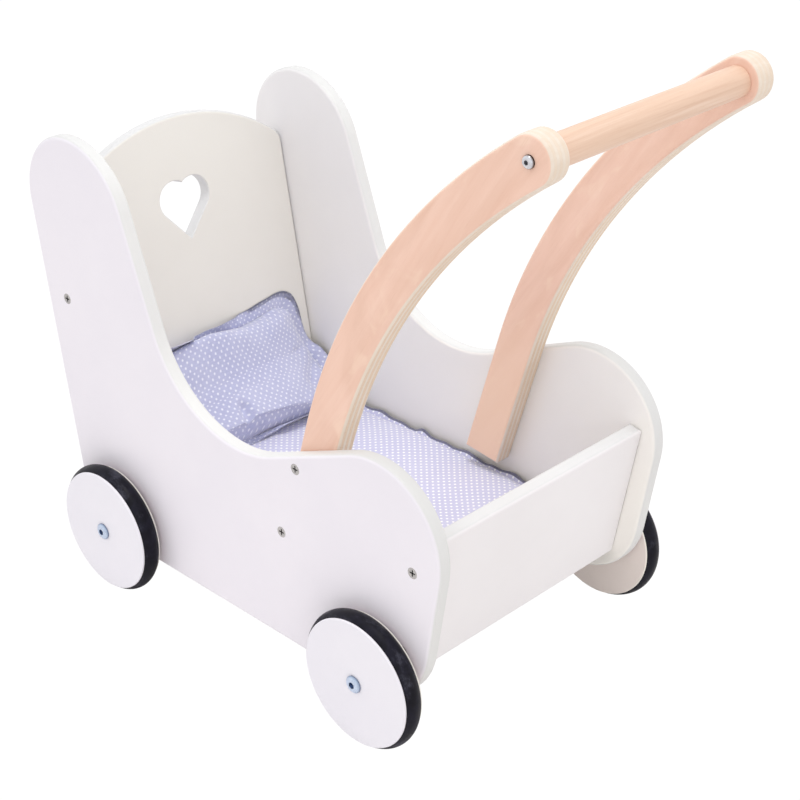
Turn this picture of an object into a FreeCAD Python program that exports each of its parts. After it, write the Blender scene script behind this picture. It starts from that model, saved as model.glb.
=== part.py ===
import FreeCAD
import Part
import math
import os

from FreeCAD import Vector

# Doll stroller: a painted board cradle on four wheels, with a curved plywood push handle.
# X runs across, +Y is the head end (the way it rolls), -Y the end with the handle, +Z is up.
# The origin is on the floor, under the middle of the whole object. All sizes are millimetres.

# ---- boards ----
BOARD = 12.0              # thickness of the painted boards
PANEL_OUTER_X = 127.4     # outer faces of the two side panels
PANEL_INNER_X = PANEL_OUTER_X - BOARD
PANEL_BOTTOM_Z = 35.0
PANEL_ROUND = 3.0         # rounding along every panel edge
END_LEAN = 0.16           # how far the panels' two ends lean outward, per unit of height
BUTT_GAP = 0.4            # hairline between a cross board's end and the side panel

# ---- side panel outline: circles as (y, z, radius) ----
HEAD_CROWN = (209.4, 330.0, 56.5)
HEAD_SHOULDER = (209.4, 320.0, 66.5)
DIP = (21.3, 285.0, 98.0)
FOOT_CROWN = (-126.7, 170.0, 65.5)
FOOT_CORNER_RADIUS = 66.0
HEAD_CORNER_RADIUS = 40.0

# ---- headboard: leans outward about a line on its inner face ----
HEADBOARD_PIVOT = (223.0, 280.0)
HEADBOARD_LEAN = 10.5     # degrees
HEADBOARD_TOP = 87.8      # along the board, from the pivot line to the top of the arch
HEADBOARD_BOTTOM = 216.5  # along the board, from the pivot line down to the lower edge
HEADBOARD_ARCH = 176.0
HEADBOARD_CORNER = 17.0
HEART_TIP = -17.8         # along the board, below the pivot line
HEART_LOBE = (9.9, 17.9, 16.2)   # across, along, radius

# ---- foot board ----
FOOTBOARD_PIVOT = (-166.0, 112.0)
FOOTBOARD_LEAN = 10.1     # degrees
FOOTBOARD_TOP = 73.2
FOOTBOARD_BOTTOM = 51.0
BOARD_ROUND = 3.0

# ---- floor board and bedding ----
FLOOR_Z = 67.0
FLOOR_THICK = 9.0
GROOVE_DEPTH = 3.0
FLOOR_FOOT_Y = -145.4
FLOOR_HEAD_Y = 183.0
SOFT_GAP = 0.4            # bedding stays this far from the boards
MATTRESS_THICK = 19.0
MATTRESS_ROUND = 6.0
MATTRESS_FOOT_Y = -146.0
MATTRESS_HEAD_Y = 184.4
MATTRESS_HALF_X = 113.6
PILLOW_HALF_X = 111.0
PILLOW_FRONT_Y = 134.0
PILLOW_TOP_Z = 190.0
PILLOW_TOP_NARROW = 17.0  # each upper corner slopes in by this much

# ---- handle ----
BAR_Y = -248.4
BAR_Z = 484.3
BAR_RADIUS = 11.0
ARM_WIDTH = 35.0
ARM_THICK = 18.0
ARM_ROUND = 2.5
ARM_RADIUS = 497.3        # centreline of the bend
ARM_TOP_ANGLE = 54.5      # direction from the bend's centre to the bar
LEG_LEAN = 16.3           # straight lower leg, degrees from upright
LEG_CUT_Z = 109.0         # height of the leg's lower end, on its centreline
LEG_CUT_SLOPE = 0.115
ARM_INNER_X = PANEL_INNER_X - ARM_THICK

# ---- wheels ----
WHEEL_RADIUS = 56.0
FRONT_AXLE_Y = 172.0
REAR_AXLE_Y = -128.0
DISC_INNER_X = 132.0
DISC_OUTER_X = 150.0
DISC_FACE_RADIUS = 52.2
FLANGE_RADIUS = 52.3
RIM_SEAT_RADIUS = 49.5
TYRE_INNER_X = 133.4
TYRE_OUTER_X = 148.4
RUNNING_GAP = 0.3         # along the axle, between the wheel and what stands still
BUSH_RADIUS = 6.0
BUSH_FLANGE = (9.0, 1.5)  # radius, thickness
BORE_CLEARANCE = 0.05     # radial, bush on bolt

# ---- fasteners ----
BOLT_RADIUS = 4.0
BOLT_HEAD_RADIUS = 7.0
BOLT_HEAD_EDGE = 0.9
BOLT_HEAD_HEIGHT = 2.6
BOLT_SOCKET = (5.0, 3.0)  # across flats, depth
BOLT_END_X = 113.0
SPACER_RADIUS = 9.0
SPACER_BORE = 4.3
NUT_BARREL = (5.0, 9.0)   # radius, length
NUT_FLANGE = (9.5, 1.5)   # radius, thickness
SCREW_HEAD_RADIUS = 4.5
SCREW_RADIUS = 1.75
SCREW_POINT = 4.0
RECESS_WIDTH = 1.1
RECESS_SPAN = 5.4
RECESS_DEPTH = 1.7
BOARD_SCREW_LENGTH = 42.0
ARM_SCREW_LENGTH = 27.0
HEADBOARD_SCREWS = ((226.1, 245.1), (194.3, 92.0))
FOOTBOARD_SCREWS = ((-165.2, 159.7), (-155.4, 88.0))
ARM_SCREWS = ((-45.2, 195.1), (-27.6, 133.1))
BAR_SCREW_RADIUS = 3.0
BAR_SCREW_HEAD = (4.5, 0.8, 2.9)   # radius, edge height, height
BAR_SCREW_LENGTH = 29.0
BAR_SCREW_SOCKET = (3.0, 1.9)
INSERT = (4.5, 13.0)      # radius, length

RIGHT = 1
LEFT = -1
SIDES = (("left", LEFT), ("right", RIGHT))
AXLES = (("front", FRONT_AXLE_Y), ("rear", REAR_AXLE_Y))


def save(node, shape):
    """Write one named sub-part."""
    shape.exportStep(os.path.join("parts", node + ".step"))
    print("%-26s solids %d  volume %.0f" % (node, len(shape.Solids), shape.Volume))


def on_side(shape, side):
    """A piece drawn for the right-hand (+X) side, or its mirror image for the left."""
    if side == RIGHT:
        return shape
    return shape.mirror(Vector(0, 0, 0), Vector(1, 0, 0))


def step_from(centre, radius, angle):
    """The point at an angle (radians) on a circle in a plane of two coordinates."""
    return (centre[0] + radius * math.cos(angle), centre[1] + radius * math.sin(angle))


def arc_through(place, centre, radius, start, end, way):
    """Arc between two points of a circle; way is +1 anticlockwise, -1 clockwise.

    place turns a pair of plane coordinates into a 3-D point.
    """
    a = math.atan2(start[1] - centre[1], start[0] - centre[0])
    b = math.atan2(end[1] - centre[1], end[0] - centre[0])
    sweep = ((b - a) * way) % (2 * math.pi) * way
    middle = step_from(centre, radius, a + sweep / 2)
    return Part.Arc(place(start), place(middle), place(end)).toShape()


def line_between(place, start, end):
    return Part.LineSegment(place(start), place(end)).toShape()


def crossing_tangent(c1, c2, turn):
    """Where the tangent line that passes between two circles touches each of them."""
    dy = c2[0] - c1[0]
    dz = c2[1] - c1[1]
    open_angle = math.acos((c1[2] + c2[2]) / math.hypot(dy, dz))
    angle = math.atan2(dz, dy) + turn * open_angle
    return step_from(c1, c1[2], angle), step_from(c2, -c2[2], angle)


def leaning_corner(point, slope, outward, radius):
    """Round the corner between a leaning end edge and the level bottom edge of a panel.

    point lies on the end edge, slope is dy/dz, outward is +1 or -1 along Y.
    Returns the centre and the two ends of the arc.
    """
    length = math.hypot(1, slope)
    z = PANEL_BOTTOM_Z + radius
    y = point[0] + slope * (z - point[1]) - outward * radius * length
    on_end = (y + outward * radius / length, z - outward * radius * slope / length)
    on_bottom = (y, PANEL_BOTTOM_Z)
    return (y, z), on_end, on_bottom


def round_flat_edges(solid, x_faces, radius):
    """Round every edge that lies in one of the given planes of constant X."""
    edges = [
        edge for edge in solid.Edges
        if any(all(abs(v.X - x) < 1e-4 for v in edge.Vertexes) for x in x_faces)
    ]
    return solid.makeFillet(radius, edges)


def panel_outline(x):
    """Side panel outline in the plane of constant X."""
    def place(p):
        return Vector(x, p[0], p[1])

    length = math.hypot(1, END_LEAN)
    head_edge = (HEAD_CROWN[0] + HEAD_CROWN[2] / length,
                 HEAD_CROWN[1] - HEAD_CROWN[2] * END_LEAN / length)
    foot_edge = (FOOT_CROWN[0] - FOOT_CROWN[2] / length,
                 FOOT_CROWN[1] - FOOT_CROWN[2] * END_LEAN / length)
    crown = (HEAD_CROWN[0], HEAD_CROWN[1] + HEAD_CROWN[2])
    shoulder, dip_head = crossing_tangent(HEAD_SHOULDER, DIP, -1)
    dip_foot, foot_top = crossing_tangent(DIP, FOOT_CROWN, 1)
    foot_c, foot_low, bottom_foot = leaning_corner(foot_edge, -END_LEAN, -1, FOOT_CORNER_RADIUS)
    head_c, head_low, bottom_head = leaning_corner(head_edge, END_LEAN, 1, HEAD_CORNER_RADIUS)
    edges = [
        line_between(place, head_low, head_edge),
        arc_through(place, HEAD_CROWN, HEAD_CROWN[2], head_edge, crown, 1),
        arc_through(place, HEAD_SHOULDER, HEAD_SHOULDER[2], crown, shoulder, 1),
        line_between(place, shoulder, dip_head),
        arc_through(place, DIP, DIP[2], dip_head, dip_foot, -1),
        line_between(place, dip_foot, foot_top),
        arc_through(place, FOOT_CROWN, FOOT_CROWN[2], foot_top, foot_edge, 1),
        line_between(place, foot_edge, foot_low),
        arc_through(place, foot_c, FOOT_CORNER_RADIUS, foot_low, bottom_foot, 1),
        line_between(place, bottom_foot, bottom_head),
        arc_through(place, head_c, HEAD_CORNER_RADIUS, bottom_head, head_low, 1),
    ]
    return Part.Wire(edges)


def side_panel(fasteners):
    """Right-hand side panel, with the floor groove and the holes of its fasteners."""
    face = Part.Face(panel_outline(PANEL_INNER_X))
    panel = face.extrude(Vector(BOARD, 0, 0))
    panel = round_flat_edges(panel, (PANEL_INNER_X, PANEL_OUTER_X), PANEL_ROUND)
    groove = Part.makeBox(GROOVE_DEPTH, FLOOR_HEAD_Y - FLOOR_FOOT_Y, FLOOR_THICK,
                          Vector(PANEL_INNER_X, FLOOR_FOOT_Y, FLOOR_Z))
    return panel.cut([groove] + fasteners)


def lean_board(board, pivot, degrees):
    """Stand a board, drawn upright with its face on y = 0, on its leaning place."""
    board.rotate(Vector(0, 0, 0), Vector(1, 0, 0), -degrees)
    board.translate(Vector(0, pivot[0], pivot[1]))
    return board


def heart_prism():
    """The heart-shaped hole, drawn upright and longer than the board is thick."""
    def place(p):
        return Vector(p[0], -BOARD, p[1])

    lobe_x, lobe_z, radius = HEART_LOBE
    notch = (0.0, lobe_z + math.sqrt(radius ** 2 - lobe_x ** 2))
    tip = (0.0, HEART_TIP)
    reach = math.hypot(lobe_x, lobe_z - HEART_TIP)
    to_lobe = math.atan2(lobe_z - HEART_TIP, lobe_x)
    side = to_lobe - math.asin(radius / reach)
    touch = step_from(tip, math.sqrt(reach ** 2 - radius ** 2), side)
    mirror_touch = (-touch[0], touch[1])
    edges = [
        line_between(place, tip, touch),
        arc_through(place, (lobe_x, lobe_z), radius, touch, notch, 1),
        arc_through(place, (-lobe_x, lobe_z), radius, notch, mirror_touch, 1),
        line_between(place, mirror_touch, tip),
    ]
    return Part.Face(Part.Wire(edges)).extrude(Vector(0, 3 * BOARD, 0))


def headboard(screws):
    """Arched headboard with the heart cut-out; its inner face is the leaning plane."""
    def place(p):
        return Vector(p[0], 0, p[1])

    half = PANEL_INNER_X - BUTT_GAP
    arch_centre = (0.0, HEADBOARD_TOP - HEADBOARD_ARCH)
    inner = HEADBOARD_ARCH - HEADBOARD_CORNER
    corner_x = half - HEADBOARD_CORNER
    corner = (corner_x, arch_centre[1] + math.sqrt(inner ** 2 - corner_x ** 2))
    swing = math.atan2(corner[1] - arch_centre[1], corner_x)
    arch_end = step_from(arch_centre, HEADBOARD_ARCH, swing)
    side_top = (half, corner[1])
    low = (half, -HEADBOARD_BOTTOM)

    def other(p):
        return (-p[0], p[1])

    edges = [
        line_between(place, low, side_top),
        arc_through(place, corner, HEADBOARD_CORNER, side_top, arch_end, 1),
        arc_through(place, arch_centre, HEADBOARD_ARCH, arch_end, other(arch_end), 1),
        arc_through(place, other(corner), HEADBOARD_CORNER, other(arch_end), other(side_top), 1),
        line_between(place, other(side_top), other(low)),
        line_between(place, other(low), low),
    ]
    board = Part.Face(Part.Wire(edges)).extrude(Vector(0, BOARD, 0))
    arch = [e for e in board.Edges
            if len({round(v.Y, 4) for v in e.Vertexes}) == 1
            and all(v.Z > corner[1] - 1e-3 for v in e.Vertexes)]
    board = board.makeFillet(BOARD_ROUND, arch).cut(heart_prism())
    rim = [e for e in board.Edges
           if len({round(v.Y, 4) for v in e.Vertexes}) == 1
           and e.BoundBox.XMax < 30 and e.BoundBox.XMin > -30
           and e.BoundBox.ZMax < 40 and e.BoundBox.ZMin > -20]
    board = board.makeChamfer(0.8, rim)
    return lean_board(board, HEADBOARD_PIVOT, HEADBOARD_LEAN).cut(screws)


def foot_board(screws):
    """Low board that closes the handle end; its outer face is the leaning plane."""
    half = PANEL_INNER_X - BUTT_GAP
    board = Part.makeBox(2 * half, BOARD, FOOTBOARD_TOP + FOOTBOARD_BOTTOM,
                         Vector(-half, 0, -FOOTBOARD_BOTTOM))
    rounded = [e for e in board.Edges
               if e.BoundBox.XLength > half
               or (e.BoundBox.YLength > BOARD / 2 and e.BoundBox.ZMin > FOOTBOARD_TOP - 1)]
    board = board.makeFillet(BOARD_ROUND, rounded)
    return lean_board(board, FOOTBOARD_PIVOT, -FOOTBOARD_LEAN).cut(screws)


def floor_board():
    half = PANEL_INNER_X + GROOVE_DEPTH
    return Part.makeBox(2 * half, FLOOR_HEAD_Y - FLOOR_FOOT_Y, FLOOR_THICK,
                        Vector(-half, FLOOR_FOOT_Y, FLOOR_Z))


def mattress():
    """Plain closed solid of the thin quilted pad on the floor board."""
    pad = Part.makeBox(2 * MATTRESS_HALF_X, MATTRESS_HEAD_Y - MATTRESS_FOOT_Y, MATTRESS_THICK,
                       Vector(-MATTRESS_HALF_X, MATTRESS_FOOT_Y,
                              FLOOR_Z + FLOOR_THICK + SOFT_GAP))
    upright = [e for e in pad.Edges if e.BoundBox.ZLength > 1]
    pad = pad.makeFillet(2 * MATTRESS_ROUND, upright)
    top = [e for e in pad.Edges if e.BoundBox.ZMin > FLOOR_Z + FLOOR_THICK + 10]
    return pad.makeFillet(MATTRESS_ROUND, top)


def headboard_y(z):
    """Y of the headboard's inner face at a height."""
    return HEADBOARD_PIVOT[0] + (z - HEADBOARD_PIVOT[1]) * math.tan(math.radians(HEADBOARD_LEAN))


def pillow():
    """Plain wedge of the pillow that leans in the corner of mattress and headboard."""
    low = FLOOR_Z + FLOOR_THICK + SOFT_GAP + MATTRESS_THICK + SOFT_GAP
    back = 1.0
    section = (
        (PILLOW_FRONT_Y, low),
        (headboard_y(low) - back, low),
        (headboard_y(PILLOW_TOP_Z) - back, PILLOW_TOP_Z),
        (headboard_y(PILLOW_TOP_Z) - back - 8.0, PILLOW_TOP_Z),
        (PILLOW_FRONT_Y + 34.0, low + 62.0),
        (PILLOW_FRONT_Y - 2.0, low + 14.0),
    )
    points = [Vector(-PILLOW_HALF_X, y, z) for y, z in section]
    wedge = Part.Face(Part.makePolygon(points + points[:1]))
    wedge = wedge.extrude(Vector(2 * PILLOW_HALF_X, 0, 0))
    mid = low + 40.0
    trims = []
    for side in (RIGHT, LEFT):
        outline = ((PILLOW_HALF_X, mid), (PILLOW_HALF_X + 1, mid),
                   (PILLOW_HALF_X + 1, PILLOW_TOP_Z + 1),
                   (PILLOW_HALF_X - PILLOW_TOP_NARROW, PILLOW_TOP_Z + 1))
        corners = [Vector(side * x, 0, z) for x, z in outline]
        trim = Part.Face(Part.makePolygon(corners + corners[:1]))
        trims.append(trim.extrude(Vector(0, 300, 0)))
    return wedge.cut(trims)


def arm_blank():
    """Right-hand handle arm: a bend that ends round at the bar, over a straight leg."""
    def place(p):
        return Vector(ARM_INNER_X, p[0], p[1])

    top = math.radians(ARM_TOP_ANGLE)
    lean = math.radians(LEG_LEAN)
    half = ARM_WIDTH / 2
    centre = (BAR_Y - ARM_RADIUS * math.cos(top), BAR_Z - ARM_RADIUS * math.sin(top))
    knee = step_from(centre, ARM_RADIUS, lean)
    down = (math.sin(lean), -math.cos(lean))
    drop = (knee[1] - LEG_CUT_Z) / math.cos(lean)
    foot = (knee[0] + drop * down[0], LEG_CUT_Z)

    def leg_end(offset):
        start = step_from(centre, ARM_RADIUS + offset, lean)
        # the cut is the line z = foot_z + slope * (y - foot_y)
        gap = start[1] - foot[1] - LEG_CUT_SLOPE * (start[0] - foot[0])
        run = gap / (math.cos(lean) + LEG_CUT_SLOPE * math.sin(lean))
        return (start[0] + run * down[0], start[1] + run * down[1])

    outer_top = step_from(centre, ARM_RADIUS + half, top)
    inner_top = step_from(centre, ARM_RADIUS - half, top)
    outer_knee = step_from(centre, ARM_RADIUS + half, lean)
    inner_knee = step_from(centre, ARM_RADIUS - half, lean)
    edges = [
        arc_through(place, centre, ARM_RADIUS + half, outer_knee, outer_top, 1),
        arc_through(place, (BAR_Y, BAR_Z), half, outer_top, inner_top, 1),
        arc_through(place, centre, ARM_RADIUS - half, inner_top, inner_knee, -1),
        line_between(place, inner_knee, leg_end(-half)),
        line_between(place, leg_end(-half), leg_end(half)),
        line_between(place, leg_end(half), outer_knee),
    ]
    arm = Part.Face(Part.Wire(edges)).extrude(Vector(ARM_THICK, 0, 0))
    return round_flat_edges(arm, (ARM_INNER_X, PANEL_INNER_X), ARM_ROUND)


def turned(profile, y, z):
    """Solid turned about an axle along X from a profile of (x, radius) points.

    A point may carry a third value: the middle point of an arc that reaches it.
    """
    def place(p):
        return Vector(p[0], 0, p[1])

    edges = []
    for first, second in zip(profile, profile[1:] + profile[:1]):
        if len(second) == 3:
            edges.append(Part.Arc(place(first), place(second[2]), place(second)).toShape())
        else:
            edges.append(line_between(place, first, second))
    solid = Part.Face(Part.Wire(edges)).revolve(Vector(0, 0, 0), Vector(1, 0, 0), 360)
    solid.translate(Vector(0, y, z))
    return solid


def hexagon_socket(across_flats, x_from, depth, y, z):
    """Hexagon prism that opens towards +X."""
    corner = across_flats / math.sqrt(3)
    points = [Vector(x_from - depth, y + corner * math.sin(math.radians(60 * k)),
                     z + corner * math.cos(math.radians(60 * k))) for k in range(6)]
    return Part.Face(Part.makePolygon(points + points[:1])).extrude(Vector(depth + 5, 0, 0))


def wheel_disc(y):
    """Turned wooden disc: painted outer face, rim seat for the tyre, inner flange."""
    flange, flange_thick = BUSH_FLANGE
    edge = 1.0
    inner_edge = 0.5
    profile = [
        (DISC_INNER_X + flange_thick, BUSH_RADIUS),
        (DISC_INNER_X + flange_thick, flange),
        (DISC_INNER_X, flange),
        (DISC_INNER_X, FLANGE_RADIUS - inner_edge),
        (DISC_INNER_X + inner_edge, FLANGE_RADIUS),
        (TYRE_INNER_X - 0.4, FLANGE_RADIUS),
        (TYRE_INNER_X, FLANGE_RADIUS - 0.4),
        (TYRE_INNER_X, RIM_SEAT_RADIUS),
        (TYRE_OUTER_X, RIM_SEAT_RADIUS),
        (TYRE_OUTER_X, DISC_FACE_RADIUS),
        (DISC_OUTER_X - edge, DISC_FACE_RADIUS),
        (DISC_OUTER_X, DISC_FACE_RADIUS - edge,
         (DISC_OUTER_X - 0.293 * edge, DISC_FACE_RADIUS - 0.293 * edge)),
        (DISC_OUTER_X, BUSH_RADIUS),
    ]
    return turned(profile, y, WHEEL_RADIUS)


def tyre(y):
    """Crowned rubber ring that sits in the rim seat."""
    middle = (TYRE_INNER_X + TYRE_OUTER_X) / 2
    profile = [
        (TYRE_INNER_X, RIM_SEAT_RADIUS),
        (TYRE_INNER_X, FLANGE_RADIUS),
        (TYRE_OUTER_X, DISC_FACE_RADIUS + 0.4, (middle, WHEEL_RADIUS)),
        (TYRE_OUTER_X, RIM_SEAT_RADIUS),
    ]
    return turned(profile, y, WHEEL_RADIUS)


def wheel_bush(y):
    """Flanged plastic bush pressed into the disc; it runs on the bolt."""
    flange, flange_thick = BUSH_FLANGE
    bore = BOLT_RADIUS + BORE_CLEARANCE
    profile = [
        (DISC_INNER_X, bore),
        (DISC_INNER_X, flange),
        (DISC_INNER_X + flange_thick, flange),
        (DISC_INNER_X + flange_thick, BUSH_RADIUS),
        (DISC_OUTER_X, BUSH_RADIUS),
        (DISC_OUTER_X, bore),
    ]
    return turned(profile, y, WHEEL_RADIUS)


def wheel_bolt(y):
    """Domed bolt with a hexagon socket: the wheel's axle."""
    seat = DISC_OUTER_X + RUNNING_GAP
    crown = seat + BOLT_HEAD_HEIGHT
    across, depth = BOLT_SOCKET
    flat = across / 2 + 1.0
    bend = ((seat + BOLT_HEAD_EDGE + crown) / 2 + 0.35, (BOLT_HEAD_RADIUS + flat) / 2 + 0.35)
    profile = [
        (BOLT_END_X, 0.0),
        (BOLT_END_X, BOLT_RADIUS - 0.8),
        (BOLT_END_X + 0.8, BOLT_RADIUS),
        (seat, BOLT_RADIUS),
        (seat, BOLT_HEAD_RADIUS),
        (seat + BOLT_HEAD_EDGE, BOLT_HEAD_RADIUS),
        (crown, flat, bend),
        (crown, 0.0),
    ]
    bolt = turned(profile, y, WHEEL_RADIUS)
    return bolt.cut(hexagon_socket(across, crown, depth, y, WHEEL_RADIUS))


def wheel_spacer(y):
    """Turned collar that holds the wheel clear of the side panel."""
    inner = PANEL_OUTER_X
    outer = DISC_INNER_X - RUNNING_GAP
    profile = [
        (inner, SPACER_BORE),
        (inner, SPACER_RADIUS),
        (outer - 0.6, SPACER_RADIUS),
        (outer, SPACER_RADIUS - 0.6),
        (outer, SPACER_BORE),
    ]
    return turned(profile, y, WHEEL_RADIUS)


def wheel_nut(y):
    """Flanged insert nut, let into the panel from inside."""
    barrel, length = NUT_BARREL
    flange, thick = NUT_FLANGE
    inner = PANEL_INNER_X
    profile = [
        (inner - thick, BOLT_RADIUS),
        (inner - thick, flange),
        (inner, flange),
        (inner, barrel),
        (inner + length, barrel),
        (inner + length, BOLT_RADIUS),
    ]
    return turned(profile, y, WHEEL_RADIUS)


def bolt_hole(y):
    """Clearance hole through the side panel, wider where the nut's barrel sits."""
    barrel, length = NUT_BARREL
    narrow = BOLT_RADIUS + 0.25
    centre = Vector(PANEL_INNER_X - 1, y, WHEEL_RADIUS)
    along = Vector(1, 0, 0)
    wide = Part.makeCylinder(barrel, length + 1, centre, along)
    return wide.fuse(Part.makeCylinder(narrow, BOARD + 2, centre, along))


def wood_screw(y, z, length):
    """Countersunk cross-head screw, driven in from the right-hand panel's outer face."""
    face = PANEL_OUTER_X
    neck = face - (SCREW_HEAD_RADIUS - SCREW_RADIUS)
    profile = [
        (face - length, 0.0),
        (face - length + SCREW_POINT, SCREW_RADIUS),
        (neck, SCREW_RADIUS),
        (face, SCREW_HEAD_RADIUS),
        (face, 0.0),
    ]
    screw = turned(profile, y, z)
    for across, up in ((RECESS_SPAN, RECESS_WIDTH), (RECESS_WIDTH, RECESS_SPAN)):
        slot = Part.makeBox(RECESS_DEPTH + 1, across, up,
                            Vector(face - RECESS_DEPTH, y - across / 2, z - up / 2))
        screw = screw.cut(slot)
    return screw


def screw_blank(y, z, length):
    """The space that a wood screw takes up, with no recess in its head."""
    face = PANEL_OUTER_X
    neck = face - (SCREW_HEAD_RADIUS - SCREW_RADIUS)
    profile = [
        (face - length, 0.0),
        (face - length + SCREW_POINT, SCREW_RADIUS),
        (neck, SCREW_RADIUS),
        (face, SCREW_HEAD_RADIUS),
        (face + 1, SCREW_HEAD_RADIUS),
        (face + 1, 0.0),
    ]
    return turned(profile, y, z)


def handle_bar():
    """Dowel between the two arms, bored at each end for a threaded insert."""
    radius, length = INSERT
    bar = Part.makeCylinder(BAR_RADIUS, 2 * ARM_INNER_X, Vector(-ARM_INNER_X, BAR_Y, BAR_Z),
                            Vector(1, 0, 0))
    bar = bar.makeChamfer(0.6, bar.Edges[0:1] + bar.Edges[2:3])
    screw_end = PANEL_INNER_X - BAR_SCREW_LENGTH
    for side in (RIGHT, LEFT):
        bore = Part.makeCylinder(radius, length, Vector(side * ARM_INNER_X, BAR_Y, BAR_Z),
                                 Vector(-side, 0, 0))
        tip_bore = Part.makeCylinder(BAR_SCREW_RADIUS, ARM_INNER_X - screw_end,
                                     Vector(side * ARM_INNER_X, BAR_Y, BAR_Z),
                                     Vector(-side, 0, 0))
        bar = bar.cut([bore, tip_bore])
    return bar


def bar_insert():
    """Threaded insert in the right-hand end of the dowel."""
    radius, length = INSERT
    profile = [
        (ARM_INNER_X - length, BAR_SCREW_RADIUS),
        (ARM_INNER_X - length, radius),
        (ARM_INNER_X, radius),
        (ARM_INNER_X, BAR_SCREW_RADIUS),
    ]
    return turned(profile, BAR_Y, BAR_Z)


def bar_screw():
    """Domed machine screw through the right-hand arm into the dowel's insert."""
    radius, edge, height = BAR_SCREW_HEAD
    across, depth = BAR_SCREW_SOCKET
    face = PANEL_INNER_X
    crown = face + height
    flat = across / 2 + 0.6
    bend = ((face + edge + crown) / 2 + 0.5, (radius + flat) / 2 + 0.5)
    profile = [
        (face - BAR_SCREW_LENGTH, 0.0),
        (face - BAR_SCREW_LENGTH, BAR_SCREW_RADIUS),
        (face, BAR_SCREW_RADIUS),
        (face, radius),
        (face + edge, radius),
        (crown, flat, bend),
        (crown, 0.0),
    ]
    screw = turned(profile, BAR_Y, BAR_Z)
    return screw.cut(hexagon_socket(across, crown, depth, BAR_Y, BAR_Z))


def screws_of(places, length, maker):
    """One right-hand screw at each (y, z) place."""
    return [maker(y, z, length) for y, z in places]


def both_sides(shapes):
    """The right-hand pieces together with their mirror images, as one group."""
    return Part.makeCompound([on_side(s, side) for side in (RIGHT, LEFT) for s in shapes])


def main():
    os.makedirs("parts", exist_ok=True)

    groups = {
        "headboard_screws": (HEADBOARD_SCREWS, BOARD_SCREW_LENGTH),
        "foot_board_screws": (FOOTBOARD_SCREWS, BOARD_SCREW_LENGTH),
        "handle_arm_screws": (ARM_SCREWS, ARM_SCREW_LENGTH),
    }
    holes = {}
    for node, (places, length) in groups.items():
        save(node, both_sides(screws_of(places, length, wood_screw)))
        holes[node] = screws_of(places, length, screw_blank)

    panel_holes = [bolt_hole(y) for _, y in AXLES]
    for blanks in holes.values():
        panel_holes += blanks
    panel = side_panel(panel_holes)
    shank_hole = Part.makeCylinder(BAR_SCREW_RADIUS, ARM_THICK + 2,
                                   Vector(ARM_INNER_X - 1, BAR_Y, BAR_Z), Vector(1, 0, 0))
    arm = arm_blank().cut(holes["handle_arm_screws"] + [shank_hole])

    for name, side in SIDES:
        save("side_panel_" + name, on_side(panel, side))
        save("handle_arm_" + name, on_side(arm, side))
        save("handle_bar_screw_" + name, on_side(bar_screw(), side))
        save("handle_bar_insert_" + name, on_side(bar_insert(), side))

    save("headboard", headboard([both_sides(holes["headboard_screws"])]))
    save("foot_board", foot_board([both_sides(holes["foot_board_screws"])]))
    save("floor_board", floor_board())
    save("handle_bar", handle_bar())
    save("mattress", mattress())
    save("pillow", pillow())

    makers = {
        "wheel_disc": wheel_disc,
        "tyre": tyre,
        "wheel_bush": wheel_bush,
        "wheel_bolt": wheel_bolt,
        "wheel_spacer": wheel_spacer,
        "wheel_nut": wheel_nut,
    }
    for axle, y in AXLES:
        for name, side in SIDES:
            for node, make in makers.items():
                save("%s_%s_%s" % (node, axle, name), on_side(make(y), side))


main()
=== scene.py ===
import math

import bmesh
import bpy
import numpy as np
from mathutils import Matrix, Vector


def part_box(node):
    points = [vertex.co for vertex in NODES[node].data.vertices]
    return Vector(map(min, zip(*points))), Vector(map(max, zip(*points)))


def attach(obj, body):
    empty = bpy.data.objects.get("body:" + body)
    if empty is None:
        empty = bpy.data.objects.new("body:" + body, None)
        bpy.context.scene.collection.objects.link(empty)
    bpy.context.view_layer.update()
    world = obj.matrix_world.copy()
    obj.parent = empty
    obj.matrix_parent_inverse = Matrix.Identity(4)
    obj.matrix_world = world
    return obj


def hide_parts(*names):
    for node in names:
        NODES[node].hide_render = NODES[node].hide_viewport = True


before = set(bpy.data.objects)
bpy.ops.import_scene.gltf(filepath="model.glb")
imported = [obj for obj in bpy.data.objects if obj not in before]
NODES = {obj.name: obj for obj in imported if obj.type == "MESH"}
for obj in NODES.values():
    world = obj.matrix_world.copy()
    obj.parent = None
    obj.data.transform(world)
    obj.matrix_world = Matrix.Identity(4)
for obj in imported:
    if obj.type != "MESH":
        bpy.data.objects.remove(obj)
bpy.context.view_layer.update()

MM = 0.001

# ---- places and sizes, from the frame ----
INNER_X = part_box("side_panel_right")[0].x   # inner face of a side panel
MATTRESS_LOW, MATTRESS_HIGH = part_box("mattress")
PILLOW_LOW, PILLOW_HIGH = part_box("pillow")
ARM_LOW, ARM_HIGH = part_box("handle_arm_right")
ARM_THICK = ARM_HIGH.x - ARM_LOW.x
PLIES = 7
DISC_FLANGE_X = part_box("tyre_front_right")[0].x   # the disc's flange lies inside this

# ---- heights between which painted light changes on inner faces, fitted to the light in the photograph ----
INNER_PAINTED_LIGHT_HEIGHTS = (0.12, 0.36)           # a panel's inner face, from its low to its high painted-light tone
VENEER_PAINTED_LIGHT_HEIGHTS = (0.14, 0.30)          # an arm's inner face, from painted paler veneer to plain

# ---- cloth ----
THREAD = 0.5 * MM                           # one over-and-under of the weave
CLOTH_THICK = 0.9 * MM                      # between the two layers of a border

# ---- mattress ----
MATTRESS_BORDER = 8 * MM
MATTRESS_INSET = 6.5 * MM                   # from the seam to the solid's side

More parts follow.
